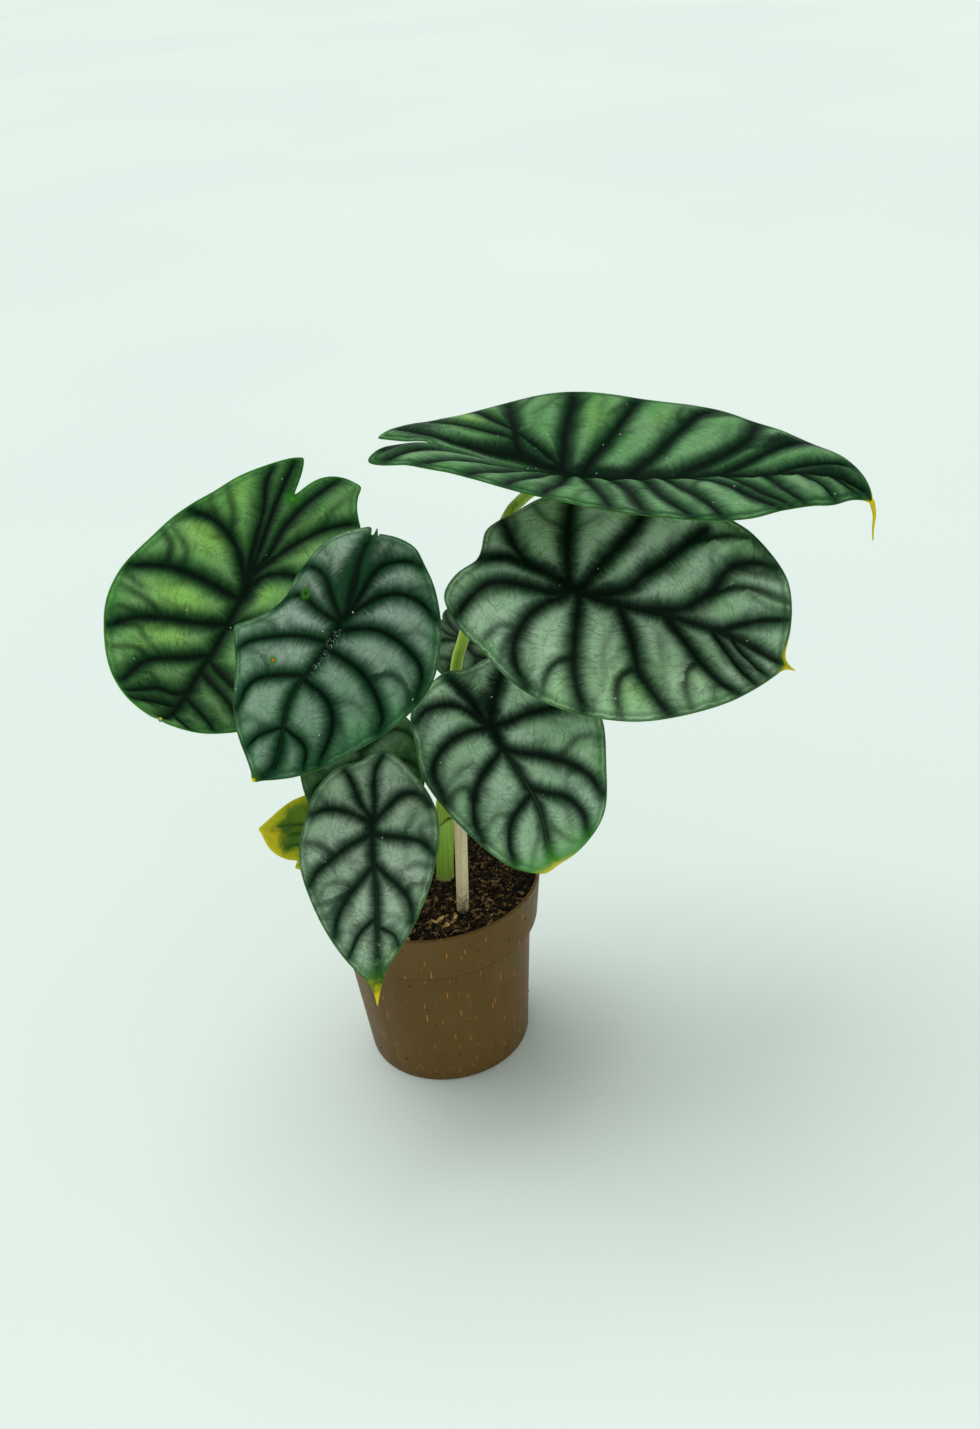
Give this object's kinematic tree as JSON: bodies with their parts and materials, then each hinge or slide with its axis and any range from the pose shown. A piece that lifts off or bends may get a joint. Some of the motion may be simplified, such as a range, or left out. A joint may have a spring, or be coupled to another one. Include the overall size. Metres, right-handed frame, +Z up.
{
  "type": "potted alocasia",
  "caption": "Potted alocasia with quilted silver-green leaves, dark feathered veins, a wooden support stake and a brown nursery pot with a collar.",
  "frame": {"origin": "centre of the pot's underside, on the surface the pot stands on", "axes": "+Z up; -Y towards the side the plant is usually seen from; +X to that viewer's right, the way the largest leaf points"},
  "size_m": [0.3634, 0.2319, 0.3582],
  "materials": {
    "pot_plastic": "satin",
    "soil": "rough",
    "stake_wood": "rough",
    "sheath_skin": "satin",
    "petiole_skin": "satin",
    "blade_crown": "satin",
    "blade_silver": "satin",
    "blade_grey": "satin",
    "blade_green": "satin",
    "blade_old": "satin",
    "blade_plain": "satin",
    "blade_dark": "satin"
  },
  "bodies": {
    "root": {"pot": "pot_plastic", "potting_soil": "soil", "stake": "stake_wood", "petiole_sheath": "sheath_skin", "petiole_crown": "petiole_skin", "petiole_right": "petiole_skin", "petiole_low_right": "petiole_skin", "petiole_front_left": "petiole_skin", "petiole_back_left": "petiole_skin", "petiole_front": "petiole_skin", "petiole_old": "petiole_skin", "petiole_inner": "petiole_skin", "petiole_shaded": "petiole_skin", "leaf_crown": "blade_crown", "leaf_right": "blade_silver", "leaf_low_right": "blade_silver", "leaf_front_left": "blade_grey", "leaf_back_left": "blade_green", "leaf_front": "blade_silver", "leaf_old": "blade_old", "leaf_inner": "blade_plain", "leaf_shaded": "blade_dark"}
  },
  "joints": []
}
